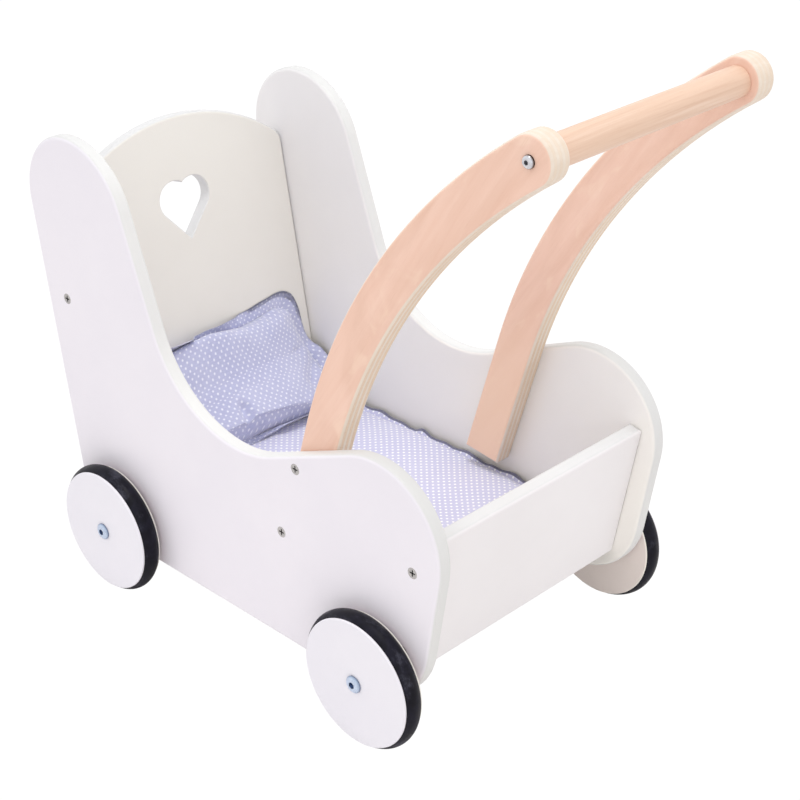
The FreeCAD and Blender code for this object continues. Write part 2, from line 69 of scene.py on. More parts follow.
# ---- pillow ----
PILLOW_BORDER = 12 * MM
PILLOW_WIDTH = 2 * (INNER_X - PILLOW_BORDER - 2.5 * MM)
PILLOW_LENGTH = 98 * MM
PILLOW_FULL = 25 * MM                       # half its thickness, where it is fullest
PILLOW_BACK_GAP = 1.0 * MM                  # from the pillow's solid to the headboard
HEADBOARD_LEAN = math.radians(10.5)

# ---- light ----
ROOM_LEVEL = 1.04                           # radiance of the white surroundings
OVERHEAD_POWER = 2.6                        # watts, on top of the white room
SIDE_POWER = 0.9
CRADLE_POWER = 0.35


# =============================================================================
# material helpers
# =============================================================================
class Tree:
    """A material's node tree, with one short call for each node."""

    def __init__(self, name):
        self.material = bpy.data.materials.new(name)
        self.material.use_nodes = True
        self.tree = self.material.node_tree
        self.tree.nodes.clear()
        self.out = self.node("ShaderNodeOutputMaterial")
        self.shader = self.node("ShaderNodeBsdfPrincipled")
        self.tree.links.new(self.shader.outputs[0], self.out.inputs["Surface"])

    def node(self, kind, **settings):
        made = self.tree.nodes.new(kind)
        for key, value in settings.items():
            setattr(made, key, value)
        return made

    def feed(self, socket, value):
        """Give a socket a link or a plain value."""
        if isinstance(value, bpy.types.NodeSocket):
            self.tree.links.new(value, socket)
        else:
            socket.default_value = value

    def set(self, **values):
        """Constants on the shader, by socket name with _ for a space."""
        for key, value in values.items():
            self.feed(self.shader.inputs[key.replace("_", " ")], value)

    def coords(self, which="Object"):
        return self.node("ShaderNodeTexCoord").outputs[which]

    def mapping(self, vector, scale=(1, 1, 1), rotation=(0, 0, 0)):
        made = self.node("ShaderNodeMapping")
        self.feed(made.inputs["Vector"], vector)
        self.feed(made.inputs["Scale"], scale)
        self.feed(made.inputs["Rotation"], rotation)
        return made.outputs[0]

    def noise(self, vector, scale, detail=3.0, rough=0.55, distortion=0.0):
        made = self.node("ShaderNodeTexNoise")
        self.feed(made.inputs["Vector"], vector)
        self.feed(made.inputs["Scale"], scale)
        self.feed(made.inputs["Detail"], detail)
        self.feed(made.inputs["Roughness"], rough)
        self.feed(made.inputs["Distortion"], distortion)
        return made.outputs["Fac"]

    def math(self, operation, a, b=0.0):
        made = self.node("ShaderNodeMath", operation=operation)
        self.feed(made.inputs[0], a)
        self.feed(made.inputs[1], b)
        return made.outputs[0]

    def split(self, vector):
        made = self.node("ShaderNodeSeparateXYZ")
        self.feed(made.inputs[0], vector)
        return made.outputs

    def ramp(self, value, *stops):
        """Eased colour ramp from (position, colour) stops."""
        made = self.node("ShaderNodeValToRGB")
        band = made.color_ramp
        band.interpolation = "EASE"
        while len(band.elements) < len(stops):
            band.elements.new(0.5)
        for element, (place, colour) in zip(band.elements, stops):
            element.position = place
            element.color = (*colour, 1.0)
        self.feed(made.inputs[0], value)
        return made.outputs[0]

    def step(self, value, low, high, to_low=0.0, to_high=1.0):
        """Smooth step of a value from one range to another."""
        made = self.node("ShaderNodeMapRange", interpolation_type="SMOOTHSTEP")
        for socket, number in zip(made.inputs, (value, low, high, to_low, to_high)):
            self.feed(socket, number)
        return made.outputs[0]

    def inward(self, normal, place):
        """1 on faces that look towards the middle plane, 0 on those that look away from it."""
        away = self.math("MULTIPLY", normal, self.math("SIGN", place))
        return self.step(away, -0.6, 0.2, 1.0, 0.0)

    def mix(self, factor, a, b, blend="MIX"):
        """Blend of two colours, each a link or three numbers."""
        made = self.node("ShaderNodeMix", data_type="RGBA", blend_type=blend)
        self.feed(made.inputs["Factor"], factor)
        sockets = [s for s in made.inputs if s.type == "RGBA"]
        self.feed(sockets[0], a if isinstance(a, bpy.types.NodeSocket) else (*a, 1.0))
        self.feed(sockets[1], b if isinstance(b, bpy.types.NodeSocket) else (*b, 1.0))
        return [s for s in made.outputs if s.type == "RGBA"][0]

    def bump(self, height, strength, distance):
        made = self.node("ShaderNodeBump")
        self.feed(made.inputs["Height"], height)
        self.feed(made.inputs["Strength"], strength)
        self.feed(made.inputs["Distance"], distance)
        return made.outputs[0]


def srgb(r, g, b):
    """Linear colour from 8-bit display values."""
    def linear(c):
        c /= 255.0
        return c / 12.92 if c <= 0.04045 else ((c + 0.055) / 1.055) ** 2.4
    return (linear(r), linear(g), linear(b))


# =============================================================================
# materials
# =============================================================================
def white_paint(name, face, inside, edge, cream_within=10.0):
    """Satin paint on fibre board: roller texture, and a creamier, drier film on cut edges.

    The faces that look towards the middle plane take the two tones called inside, painted light
    for the cradle's inside, from low down to high up; edges stay face-coloured farther from the
    middle plane than cream_within.
    """
    t = Tree(name)
    where = t.coords()
    x, _, z = t.split(where)
    nx = t.split(t.coords("Normal"))[0]
    across = t.math("ABSOLUTE", nx)
    cut = t.step(across, 0.50, 0.97, 1.0, 0.0)
    cream = t.step(t.math("ABSOLUTE", x), cream_within - 0.4 * MM, cream_within, 1.0, 0.0)
    # painted light: faces that look inwards take the inside tones, paler low down, for the light
    # inside the cradle
    inner = t.mix(t.step(z, *INNER_PAINTED_LIGHT_HEIGHTS), inside[0], inside[1])
    base = t.mix(t.inward(nx, x), face, inner)
    base = t.mix(t.math("MULTIPLY", cut, cream), base, edge)
    cloud = t.noise(where, 9.0, 4.0)
    tint = t.ramp(cloud, (0.30, (0.972, 0.972, 0.980)), (0.70, (1.0, 1.0, 1.0)))
    t.set(Base_Color=t.mix(1.0, base, tint, "MULTIPLY"))
    roller = t.noise(where, 620.0, 3.0, 0.6)
    fibres = t.noise(where, 1700.0, 2.0, 0.7)
    height = t.math("ADD", roller, t.math("MULTIPLY", fibres, t.math("MULTIPLY", cut, 0.8)))
    t.set(Normal=t.bump(height, 0.22, 0.00035))
    rough = t.step(t.noise(where, 45.0, 3.0), 0.3, 0.7, 0.36, 0.48)
    t.set(Roughness=t.math("ADD", rough, t.math("MULTIPLY", cut, 0.10)))
    t.set(Specular_IOR_Level=0.42)
    return t.material


def cross_board_paint(name, face, inside, edge):
    """The same paint on the boards between the panels, with painted light on the inward faces and
    painted shade in the gap at each end.
    """
    t = Tree(name)
    where = t.coords()
    x, y, _ = t.split(where)
    ny = t.split(t.coords("Normal"))[1]
    cut = t.step(t.math("ABSOLUTE", ny), 0.55, 0.95, 1.0, 0.0)
    # painted light: inward faces take a warmer, darker tone than the outward faces, for the light
    # inside the cradle
    base = t.mix(cut, t.mix(t.inward(ny, y), face, inside), edge)
    cloud = t.noise(where, 8.0, 4.0)
    tint = t.ramp(cloud, (0.30, (0.972, 0.970, 0.968)), (0.70, (1.0, 1.0, 1.0)))
    base = t.mix(1.0, base, tint, "MULTIPLY")
    # painted shade: a thin dark line at each end, where the board meets a side panel, for the
    # shadow in the gap there
    ragged = t.math("MULTIPLY", t.noise(where, 70.0, 3.0), 0.9 * MM)
    reach = t.math("ADD", t.math("ABSOLUTE", x), ragged)
    end_gap_painted_shade = t.step(reach, INNER_X - 0.35 * MM, INNER_X + 0.15 * MM, 0.0, 0.6)
    t.set(Base_Color=t.mix(end_gap_painted_shade, base, srgb(112, 98, 80)))
    roller = t.noise(where, 620.0, 3.0, 0.6)
    t.set(Normal=t.bump(roller, 0.22, 0.00035))
    t.set(Roughness=t.step(t.noise(where, 45.0, 3.0), 0.3, 0.7, 0.38, 0.50))
    t.set(Specular_IOR_Level=0.42)
    return t.material


def birch_ply(name):
    """Rotary-cut birch veneer on the faces, the stack of plies along every edge."""
    t = Tree(name)
    where = t.coords()
    x, _, z = t.split(where)
    nx = t.split(t.coords("Normal"))[0]
    # grain runs along the arm's chord; the mapping turns that chord onto Y
    chord = math.atan2(ARM_HIGH.z - ARM_LOW.z, ARM_LOW.y - ARM_HIGH.y)
    turned = t.mapping(where, rotation=(-chord, 0, 0))
    streaks = t.noise(t.mapping(turned, scale=(60.0, 7.0, 150.0)), 1.0, 5.0, 0.60, 0.5)
    figure = t.noise(t.mapping(turned, scale=(20.0, 6.0, 22.0)), 1.0, 4.0, 0.55, 1.8)
    fleck = t.noise(t.mapping(turned, scale=(30.0, 26.0, 60.0)), 1.0, 3.0, 0.6, 0.6)
    pores = t.noise(t.mapping(turned, scale=(300.0, 45.0, 1500.0)), 1.0, 2.0, 0.6)
    face = t.ramp(streaks, (0.28, srgb(236, 196, 176)), (0.50, srgb(239, 201, 182)),
                  (0.74, srgb(242, 206, 188)))
    glow = t.ramp(figure, (0.32, (0.955, 0.93, 0.91)), (0.68, (1.02, 1.02, 1.02)))
    face = t.mix(1.0, face, glow, "MULTIPLY")
    face = t.mix(t.step(fleck, 0.55, 0.72, 0.0, 0.35), face, srgb(250, 222, 200))
    face = t.mix(t.step(pores, 0.60, 0.74, 0.0, 0.16), face, srgb(214, 168, 142))
    # painted light: low on the inner faces the photograph is paler than this studio's light
    # leaves them, so the veneer is painted paler and yellower there
    painted_light_low = t.step(z, *VENEER_PAINTED_LIGHT_HEIGHTS, 0.85, 0.0)
    face = t.mix(t.math("MULTIPLY", t.inward(nx, x), painted_light_low), face, srgb(252, 216, 187))
    # plies: depth through the thickness, from the inner face
    depth = t.math("SUBTRACT", t.math("ABSOLUTE", x), ARM_LOW.x)
    depth = t.math("MULTIPLY", depth, PLIES / ARM_THICK)
    wander = t.math("MULTIPLY", t.math("SUBTRACT", t.noise(where, 60.0, 2.0), 0.5), 0.16)
    depth = t.math("ADD", depth, wander)
    place = t.math("FRACT", depth)
    odd = t.math("MODULO", t.math("FLOOR", depth), 2.0)
    glue = t.math("MAXIMUM", t.step(place, 0.02, 0.10, 1.0, 0.0), t.step(place, 0.90, 0.98))
    end_grain = t.noise(t.mapping(where, scale=(900.0, 500.0, 500.0)), 1.0, 3.0)
    light_ply = t.ramp(streaks, (0.3, srgb(229, 213, 196)), (0.7, srgb(235, 222, 208)))
    dark_ply = t.ramp(end_grain, (0.3, srgb(224, 198, 170)), (0.7, srgb(232, 209, 183)))
    # painted light: near the bar the photograph shows the plies more faintly, where the arms'
    # tops take the most light, so they are painted fainter there
    fade = t.step(z, ARM_HIGH.z - 90 * MM, ARM_HIGH.z - 25 * MM, 1.0, 0.30)
    edge = t.mix(t.math("MULTIPLY", t.step(odd, 0.4, 0.6), fade), light_ply, dark_ply)
    edge = t.mix(t.math("MULTIPLY", t.math("MULTIPLY", glue, 0.26), fade), edge,
                 srgb(184, 152, 126))
    cut = t.step(t.math("ABSOLUTE", nx), 0.72, 0.93, 1.0, 0.0)
    t.set(Base_Color=t.mix(cut, face, edge))
    grain = t.math("ADD", t.math("MULTIPLY", streaks, 0.6), t.math("MULTIPLY", pores, 0.5))
    layers = t.math("MULTIPLY", t.math("MULTIPLY", t.math("ADD", glue, end_grain), 0.5), cut)
    t.set(Normal=t.bump(t.math("SUBTRACT", grain, layers), 0.25, 0.00025))
    t.set(Roughness=t.step(streaks, 0.3, 0.7, 0.54, 0.44))
    t.set(Coat_Weight=0.10, Coat_Roughness=0.30, Specular_IOR_Level=0.35)
    return t.material


def dowel_wood(name):
    """Straight-grained turned dowel, grain along the bar."""
    t = Tree(name)
    where = t.coords()
    streaks = t.noise(t.mapping(where, scale=(11.0, 420.0, 420.0)), 1.0, 5.0, 0.6, 0.4)
    bands = t.noise(t.mapping(where, scale=(5.0, 70.0, 70.0)), 1.0, 3.0, 0.5, 0.8)
    dashes = t.noise(t.mapping(where, scale=(130.0, 1700.0, 1700.0)), 1.0, 2.0, 0.6)
    wood = t.ramp(streaks, (0.30, srgb(222, 187, 164)), (0.52, srgb(228, 196, 174)),
                  (0.75, srgb(235, 207, 188)))
    wood = t.mix(1.0, wood, t.ramp(bands, (0.3, (0.965, 0.95, 0.93)), (0.7, (1.02, 1.02, 1.01))),
                 "MULTIPLY")
    wood = t.mix(t.step(dashes, 0.62, 0.72, 0.0, 0.30), wood, srgb(214, 174, 142))
    t.set(Base_Color=wood)
    t.set(Normal=t.bump(t.math("ADD", streaks, t.math("MULTIPLY", dashes, 0.4)), 0.28, 0.00022))
    t.set(Roughness=t.step(streaks, 0.3, 0.7, 0.50, 0.40))
    t.set(Coat_Weight=0.12, Coat_Roughness=0.28, Specular_IOR_Level=0.35)
    return t.material


def black_rubber(name):
    """Moulded tyre rubber with a soft gloss and a little floor dust in the scuffs."""
    t = Tree(name)
    where = t.coords()
    scuff = t.noise(where, 95.0, 5.0, 0.65)
    dust = t.noise(t.mapping(where, scale=(60.0, 34.0, 34.0)), 1.0, 5.0, 0.7)
    grit = t.noise(where, 2400.0, 2.0, 0.6)
    rubber = t.ramp(scuff, (0.35, srgb(12, 11, 21)), (0.65, srgb(24, 23, 36)))
    speckle = t.math("MULTIPLY", t.step(dust, 0.50, 0.72), t.step(grit, 0.35, 0.65, 0.35, 1.0))
    t.set(Base_Color=t.mix(speckle, rubber, srgb(74, 74, 86)))
    t.set(Roughness=t.step(scuff, 0.3, 0.7, 0.34, 0.54))
    t.set(Normal=t.bump(t.math("ADD", grit, scuff), 0.25, 0.00018))
    t.set(Specular_IOR_Level=0.15)
    return t.material


def plated_steel(name, bright, dark, head, depth, rough):
    """Plated steel; a head is painted bright on its crown, and dark down in its recess and at its
    rim: painted reflection and shade.

    head is the crown's distance from the middle plane, depth the fall over which it darkens.
    """
    t = Tree(name)
    where = t.coords()
    x = t.split(where)[0]
    haze = t.noise(where, 420.0, 4.0)
    # painted reflection and shade: bright on the crown, dark in the recess and at the rim
    crown = t.step(t.math("ABSOLUTE", x), head - depth, head - 0.12 * depth)
    tint = t.ramp(haze, (0.3, (0.88, 0.89, 0.92)), (0.7, (1.0, 1.0, 1.0)))
    t.set(Base_Color=t.mix(1.0, t.mix(crown, dark, bright), tint, "MULTIPLY"), Metallic=1.0)
    marks = t.noise(t.mapping(where, scale=(2200.0, 60.0, 60.0)), 1.0, 2.0)
    t.set(Roughness=t.step(haze, 0.3, 0.7, rough, rough + 0.14))
    t.set(Normal=t.bump(marks, 0.15, 0.00008))
    return t.material


def plain_nylon(name):
    """Uncoloured nylon, slightly translucent."""
    t = Tree(name)
    where = t.coords()
    t.set(Base_Color=t.ramp(t.noise(where, 260.0, 3.0), (0.3, srgb(214, 210, 200)),
                            (0.7, srgb(228, 225, 216))))
    t.set(Normal=t.bump(t.noise(where, 1500.0), 0.15, 0.0001))
    t.set(Roughness=0.5, Subsurface_Weight=0.1)
    t.shader.inputs["Subsurface Radius"].default_value = (0.002, 0.002, 0.002)
    return t.material


def dotted_cotton(name, deep, pale, between, dot_tone, cell, radius, half, hem):
    """Plain-weave cotton with a staggered print of small white dots, laid out by the cut cloth.

    deep and pale are the ground's two tones, between the colour down in the weave. The dots
    stand in the middle and corners of each cell. half is the cut cloth's half width and
    length; hem is how far in from there the cloth is painted dark, and how dark: painted shade
    for the shadow where the hem meets the boards.
    """
    t = Tree(name)
    cloth = t.node("ShaderNodeUVMap", uv_map="cloth").outputs[0]
    u, v, _ = t.split(cloth)

    def dots(shift):
        """Distance from the nearest dot of one of the two sets."""
        parts = []
        for value, pitch in ((u, cell[0]), (v, cell[1])):
            turn = t.math("FRACT", t.math("ADD", t.math("DIVIDE", value, pitch), shift))
            off = t.math("MULTIPLY", t.math("SUBTRACT", turn, 0.5), pitch)
            parts.append(t.math("MULTIPLY", off, off))
        return t.math("SQRT", t.math("ADD", parts[0], parts[1]))

    nearest = t.math("MINIMUM", dots(0.0), dots(0.5))
    ragged = t.math("MULTIPLY", t.math("SUBTRACT", t.noise(cloth, 2600.0, 2.0), 0.5), 0.35 * MM)
    nearest = t.math("ADD", nearest, ragged)
    dot = t.step(nearest, radius - 0.3 * MM, radius + 0.3 * MM, 1.0, 0.0)
    # over-and-under threads
    turn = 2 * math.pi / THREAD
    warp = t.math("SINE", t.math("MULTIPLY", u, turn))
    weft = t.math("SINE", t.math("MULTIPLY", v, turn))
    weave = t.math("MULTIPLY", warp, weft)
    slub = t.noise(t.mapping(cloth, scale=(240.0, 1900.0, 1.0)), 1.0, 3.0)
    fade = t.noise(cloth, 26.0, 3.0)
    ground = t.ramp(slub, (0.30, deep), (0.70, pale))
    ground = t.mix(t.step(fade, 0.35, 0.7, 0.0, 0.20), ground, srgb(222, 223, 240))
    ground = t.mix(t.step(weave, -0.6, 0.9, 0.20, 0.0), ground, between)
    colour = t.mix(dot, ground, dot_tone)
    # painted shade along the hem, with a ragged inner line
    ragged = t.math("MULTIPLY", t.noise(cloth, 160.0, 3.0), 1.1 * MM)
    reach = []
    for value, end in ((u, half[0]), (v, half[1])):
        edge = t.math("SUBTRACT", t.math("ABSOLUTE", value), end - hem[0])
        reach.append(t.step(t.math("ADD", edge, ragged), 0.2 * MM, 0.9 * MM))
    hem_painted_shade = t.math("MULTIPLY", t.math("MAXIMUM", reach[0], reach[1]), hem[1])
    t.set(Base_Color=t.mix(hem_painted_shade, colour, srgb(74, 74, 98)))
    height = t.math("ADD", weave, t.math("MULTIPLY", slub, 0.8))
    t.set(Normal=t.bump(height, 0.35, 0.00012))
    t.set(Roughness=0.86, Sheen_Weight=0.8, Sheen_Roughness=0.5, Specular_IOR_Level=0.2)
    t.shader.inputs["Sheen Tint"].default_value = (0.95, 0.95, 1.0, 1.0)
    return t.material


def grey_card(name):
    """Matt off-white card for the floor, which the camera doesn't see."""
    t = Tree(name)
    where = t.coords()
    t.set(Base_Color=t.ramp(t.noise(where, 3.0, 2.0), (0.3, (0.86, 0.835, 0.82)),
                            (0.7, (0.88, 0.855, 0.84))))
    t.set(Roughness=1.0, Specular_IOR_Level=0.0)
    return t.material


def wear(piece, material):
    """Give an object one material, in every slot."""
    slots = piece.data.materials
    if not slots:
        slots.append(material)
    for k in range(len(slots)):
        slots[k] = material


# =============================================================================
# sewn pads: two sheets joined at a seam, a flat border outside it, filled by pressure
# =============================================================================
def sewn_sheets(name, width, length, border, cell, corner):
    """Flat mesh of a sewn case. Returns the object and its seam, border and sheet facts.

    corner is how far the seam's corners are drawn in, as a part of the half sizes.
    """
    nu = max(8, round(width / cell))
    nv = max(8, round(length / cell))
    rows = max(2, round(border / cell))
    bm = bmesh.new()
    uv = bm.loops.layers.uv.new("cloth")
    rest = {}

    def put(u, v, w, draw=corner, grow=0.0):
        near = abs(u / (width / 2 + grow) * v / (length / 2 + grow))
        pull = 1 - draw * min(near, 1.0) ** 7
        made = bm.verts.new((u * pull, v * pull, w))
        rest[made] = (u, v)
        return made

    us = [(-0.5 + i / nu) * width for i in range(nu + 1)]
    vs = [(-0.5 + j / nv) * length for j in range(nv + 1)]
    lift = 0.8 * MM
    top, low = {}, {}
    for i, u in enumerate(us):
        for j, v in enumerate(vs):
            on_seam = i in (0, nu) or j in (0, nv)
            top[i, j] = put(u, v, 0.0 if on_seam else lift)
            low[i, j] = top[i, j] if on_seam else put(u, v, -lift)
    body = []
    for i in range(nu):
        for j in range(nv):
            quad = [(i, j), (i + 1, j), (i + 1, j + 1), (i, j + 1)]
            body.append(bm.faces.new([top[q] for q in quad]))
            body.append(bm.faces.new([low[q] for q in reversed(quad)]))
    ring = [(i, 0) for i in range(nu)] + [(nu, j) for j in range(nv)]
    ring += [(i, nv) for i in range(nu, 0, -1)] + [(0, j) for j in range(nv, 0, -1)]
    loops = [[top[q] for q in ring]]
    for k in range(1, rows + 1):
        grow = border * k / rows
        scale = (1 + 2 * grow / width, 1 + 2 * grow / length)
        draw = corner * (1 - 0.4 * k / rows)
        loops.append([put(us[i] * scale[0], vs[j] * scale[1], 0.0, draw, grow)
                      for i, j in ring])
    for inner, outer in zip(loops, loops[1:]):
        n = len(ring)
        for k in range(n):
            bm.faces.new([inner[k], outer[k], outer[(k + 1) % n], inner[(k + 1) % n]])
    for face in bm.faces:
        for loop in face.loops:
            loop[uv].uv = rest[loop.vert]
    bm.verts.index_update()
    facts = {
        "body": sorted({v.index for f in body for v in f.verts}),
        "body_faces": len(body),
        "loops": [[v.index for v in loop] for loop in loops],
    }
    mesh = bpy.data.meshes.new(name)
    bm.to_mesh(mesh)
    bm.free()
    piece = bpy.data.objects.new(name, mesh)
    bpy.context.scene.collection.objects.link(piece)
    return piece, facts


def blow_up(piece, facts, pressure, frames, bending):
    """Fill a sewn case by cloth pressure and keep the last frame as its mesh."""
    group = piece.vertex_groups.new(name="filled")
    group.add(facts["body"], 1.0, "REPLACE")
    cloth = piece.modifiers.new("Cloth", "CLOTH")
    settings = cloth.settings
    settings.quality = 10
    settings.mass = 0.12
    settings.air_damping = 3.0
    settings.tension_stiffness = 25
    settings.compression_stiffness = 25
    settings.shear_stiffness = 12
    settings.bending_stiffness = bending
    settings.tension_damping = 8
    settings.compression_damping = 8
    settings.shear_damping = 8
    settings.use_pressure = True
    settings.uniform_pressure_force = pressure
    settings.vertex_group_pressure = "filled"
    settings.effector_weights.gravity = 0.0
    cloth.collision_settings.use_collision = False
    cloth.collision_settings.use_self_collision = False
    cloth.point_cache.frame_start = 1
    cloth.point_cache.frame_end = frames
    scene = bpy.context.scene
    scene.frame_end = frames
    for number in range(1, frames + 1):
        scene.frame_set(number)
    graph = bpy.context.evaluated_depsgraph_get()
    filled = bpy.data.meshes.new_from_object(piece.evaluated_get(graph))
    piece.modifiers.clear()
    scene.frame_set(1)
    old = piece.data
    piece.data = filled
    bpy.data.meshes.remove(old)


def vertices(piece):
    """The mesh's vertices as an (n, 3) array."""
    co = np.empty(len(piece.data.vertices) * 3)
    piece.data.vertices.foreach_get("co", co)
    return co.reshape(-1, 3)


def set_vertices(piece, co):
    """Put an (n, 3) array back into the mesh."""
    piece.data.vertices.foreach_set("co", np.ascontiguousarray(co).ravel())
    piece.data.update()


def smooth_waves(co, seed, size, height):
    """A sum of a few broad sine waves, the same on every run: soft unevenness of the filling."""
    rng = np.random.default_rng(seed)
    total = np.zeros(len(co))
    waves = 9
    for _ in range(waves):
        direction = rng.normal(size=3)
        direction /= np.linalg.norm(direction)
        length = size * rng.uniform(0.6, 1.6)
        total += np.sin(co @ direction * (2 * math.pi / length) + rng.uniform(0, 6.28))
    return total / waves * height


def rest_places(piece):
    """Each vertex's place on the flat cut cloth, read back from the cloth map."""
    mesh = piece.data
    uv = np.empty(len(mesh.loops) * 2)
    mesh.uv_layers["cloth"].data.foreach_get("uv", uv)
    owner = np.empty(len(mesh.loops), dtype=int)
    mesh.loops.foreach_get("vertex_index", owner)
    rest = np.zeros((len(mesh.vertices), 2))
    rest[owner] = uv.reshape(-1, 2)
    return rest


def square_up(co, rest, width, length):
    """Undo the broad drawing-in of the four seams, and keep their fine puckers."""
    fitted = 0.82                           # part of a seam, away from its corners
    for axis, other, half in ((0, 1, width / 2), (1, 0, length / 2)):
        for sign in (-1, 1):
            seam = np.abs(sign * rest[:, axis] - half) < 1e-6
            seam &= np.abs(rest[:, other]) <= fitted * (length if axis == 0 else width) / 2
            fit = np.polynomial.Polynomial.fit(rest[seam, other], sign * co[seam, axis], 4)
            mine = sign * rest[:, axis] > 0
            lane = np.clip(rest[:, other], rest[seam, other].min(), rest[seam, other].max())
            co[mine, axis] *= half / fit(lane[mine])


def dent(co_a, co_b, line, width):
    """Bell-shaped weight around a segment in the plane of two coordinates."""
    (a0, b0), (a1, b1) = line
    run = np.array([a1 - a0, b1 - b0])
    size = run @ run
    along = np.clip(((co_a - a0) * run[0] + (co_b - b0) * run[1]) / size, 0, 1)
    off = np.hypot(co_a - a0 - along * run[0], co_b - b0 - along * run[1])
    return np.exp(-(off / width) ** 2)


def double_border(piece, facts, thick, front=1.0):
    """Replace the single-layer border by a closed band of two layers of cloth.

    The band starts a little inside the seam, so that no gap shows beside the filled body.
    front is the part of the border's width that is kept at the front.
    """
    tuck = 0.45                             # of a row, inside the seam
    taper = 15 * MM                         # from the front seam to the border's full width
    bm = bmesh.new()
    bm.from_mesh(piece.data)
    uv = bm.loops.layers.uv["cloth"]
    bm.verts.ensure_lookup_table()
    bm.faces.ensure_lookup_table()
    rest = {}
    for face in bm.faces:
        for loop in face.loops:
            rest[loop.vert.index] = loop[uv].uv.copy()
    border = bm.faces[facts["body_faces"]:]
    seam = facts["loops"][0]
    first = facts["loops"][1]
    front_v = min(rest[index].y for index in seam)
    sheets = []
    for side in (0.5, -0.5):
        lift = Vector((0, 0, side * thick))
        rows = []
        for loop in facts["loops"]:
            rows.append([])
            for at_seam, outer, index in zip(seam, first, loop):
                start = bm.verts[at_seam].co
                if index == at_seam:
                    place = start + (start - bm.verts[outer].co) * tuck
                    flat = rest[at_seam] + (rest[at_seam] - rest[outer]) * tuck
                else:
                    near = min((rest[at_seam].y - front_v) / taper, 1.0)
                    keep = front + (1 - front) * near
                    place = start + (bm.verts[index].co - start) * keep
                    flat = rest[index]
                rows[-1].append((place + lift, flat))
        sheets.append(rows)
    crease = bm.edges.layers.float.new("crease_edge")
    for one, other in zip(seam, seam[1:] + seam[:1]):
        bm.edges.get((bm.verts[one], bm.verts[other]))[crease] = 0.8
    gone = [bm.verts[i] for loop in facts["loops"][1:] for i in loop]
    bmesh.ops.delete(bm, geom=border, context="FACES_ONLY")
    bmesh.ops.delete(bm, geom=gone, context="VERTS")
    bmesh.ops.recalc_face_normals(bm, faces=bm.faces[:])

    made = [[[(bm.verts.new(place), flat) for place, flat in row] for row in rows]
            for rows in sheets]
    up, down = made
    count = len(up[0])

    def quad(corners):
        face = bm.faces.new([vert for vert, _ in corners])
        for loop, (_, flat) in zip(face.loops, corners):
            loop[uv].uv = flat

    for k in range(len(up) - 1):
        for n in range(count):
            m = (n + 1) % count
            quad([up[k][n], up[k + 1][n], up[k + 1][m], up[k][m]])
            quad([down[k][m], down[k + 1][m], down[k + 1][n], down[k][n]])
    for n in range(count):
        m = (n + 1) % count
        quad([up[-1][n], down[-1][n], down[-1][m], up[-1][m]])
        quad([down[0][n], up[0][n], up[0][m], down[0][m]])
    bm.to_mesh(piece.data)
    bm.free()
    piece.data.update()


def finish_cloth(piece):
    """Smooth shading and one subdivision."""
    for face in piece.data.polygons:
        face.use_smooth = True
    subdivision = piece.modifiers.new("Subdivision", "SUBSURF")
    subdivision.levels = 1
    subdivision.render_levels = 1


def turn_up_border(co, rest, sheet, width, length):
    """Stand the mattress's border up along the walls, rippled by its hem.

    rest is each vertex's place on the cut cloth, sheet its height within the two layers.
    """
    outside = np.stack([np.abs(rest[:, 0]) - width / 2, np.abs(rest[:, 1]) - length / 2])
    run = np.clip(outside, 0, None)
    part = np.hypot(*run) / MATTRESS_BORDER
    ripple = np.sin(rest[:, 0] * 290 + 0.7) + np.sin(rest[:, 1] * 240)
    ripple += 0.8 * np.sin((rest[:, 0] + rest[:, 1]) * 127 + 2.0)
    for axis, half in ((0, width / 2), (1, length / 2)):
        beyond = run[axis] > 1e-6
        side = np.sign(rest[:, axis])
        placed = half + run[axis] * 0.62 + 0.55 * MM * ripple * part - sheet
        co[beyond, axis] = (side * placed)[beyond]
    co[:, 2] += np.minimum(part, 1.0) * (6.6 * MM + 0.75 * MM * ripple)


def mattress_pad():
    """Thin pad that fills the floor between the boards; its border turns up at the walls."""
    low, high = MATTRESS_LOW, MATTRESS_HIGH
    middle = (low + high) / 2
    width = high.x - low.x - 2 * MATTRESS_INSET
    length = high.y - low.y - 2 * MATTRESS_INSET
    piece, facts = sewn_sheets("mattress_pad", width, length, MATTRESS_BORDER, 4.0 * MM, 0.03)
    blow_up(piece, facts, 2.6, 18, bending=0.3)
    co = vertices(piece)
    square_up(co, rest_places(piece), width, length)
    set_vertices(piece, co)
    double_border(piece, facts, CLOTH_THICK)
    co = vertices(piece)
    sheet = np.clip(co[:, 2], -0.5 * MM, 0.5 * MM)
    # the filling levels off softly inside the solid's height, with shallow hollows on top
    height = 0.46 * (high.z - low.z)
    co[:, 2] = height * np.tanh(1.5 * co[:, 2] / height)
    crown = np.clip(co[:, 2] / height, 0, 1)
    co[:, 2] += smooth_waves(co, 4, 0.08, 2.4 * MM) * crown
    turn_up_border(co, rest_places(piece), sheet, width, length)
    # onto the floor board, inside the walls
    co += np.array(middle) + np.array([0, 0, 0.8 * MM])
    co[:, 0] = np.clip(co[:, 0], low.x - 0.6 * MM, high.x + 0.6 * MM)
    co[:, 1] = np.clip(co[:, 1], low.y - 0.2 * MM, high.y)
    co[:, 2] = np.maximum(co[:, 2], low.z + 0.2 * MM)
    set_vertices(piece, co)
    finish_cloth(piece)
    half = (width / 2 + MATTRESS_BORDER, length / 2 + MATTRESS_BORDER)
    # painted light: the mattress wears lighter tones of the pillow's dotted cotton, for the
    # stronger light and sheen on its top; its hem carries painted shade
    wear(piece, dotted_cotton("mattress_cotton", srgb(198, 198, 228), srgb(212, 212, 238),
                              srgb(180, 180, 216), srgb(252, 252, 255),
                              (6.2 * MM, 6.6 * MM), 0.98 * MM, half, (2.6 * MM, 0.85)))
    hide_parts("mattress")
    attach(piece, "mattress")


